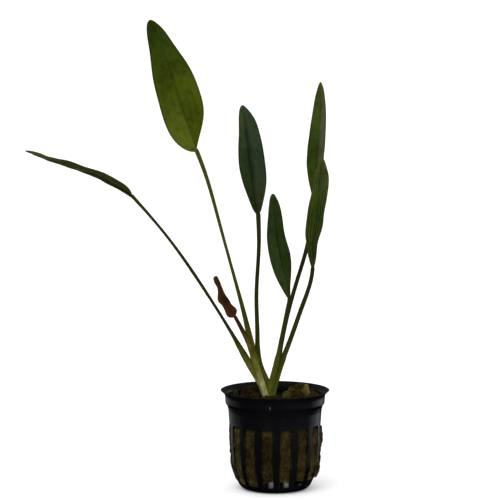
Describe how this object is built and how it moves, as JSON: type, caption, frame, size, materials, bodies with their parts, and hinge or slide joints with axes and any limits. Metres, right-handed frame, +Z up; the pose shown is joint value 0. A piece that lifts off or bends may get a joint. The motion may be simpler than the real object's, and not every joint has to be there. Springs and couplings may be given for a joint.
{
  "type": "potted echinodorus",
  "caption": "Echinodorus aquarium plant with lance-shaped leaves on long stalks, rooted in stone wool in a slotted black net pot.",
  "frame": {"origin": "centre of the flat base of the pot, on the surface it stands on", "axes": "+Z up through the plant, -Y the side the picture shows, +X to its right"},
  "size_m": [0.1512, 0.0578, 0.2357],
  "materials": {
    "pot_plastic": "glossy moulded black plastic",
    "stone_wool": "wet fibrous stone wool, olive brown",
    "sheath": "smooth waxy leaf sheath, pale yellow green",
    "stalk": "smooth ridged leaf stalk, olive green",
    "blade_light": "wet leaf with long veins, yellow green",
    "blade_olive": "wet leaf with long veins, olive green",
    "blade_dark": "wet leaf with long veins, dark bluish green",
    "withered": "shrivelled leaf, reddish brown"
  },
  "bodies": {
    "root": {"net_pot": "pot_plastic", "stone_wool": "stone_wool", "crown": "sheath", "tall_leaf_stalk": "stalk", "tall_leaf_blade": "blade_light", "arching_leaf_stalk": "stalk", "arching_leaf_blade": "blade_olive", "upright_leaf_stalk": "stalk", "upright_leaf_blade": "blade_dark", "withered_leaf_stalk": "withered", "withered_leaf_blade": "withered", "short_leaf_stalk": "stalk", "short_leaf_blade": "blade_dark", "rear_leaf_stalk": "stalk", "rear_leaf_blade": "blade_olive", "front_leaf_stalk": "stalk", "front_leaf_blade": "blade_olive"}
  },
  "joints": []
}
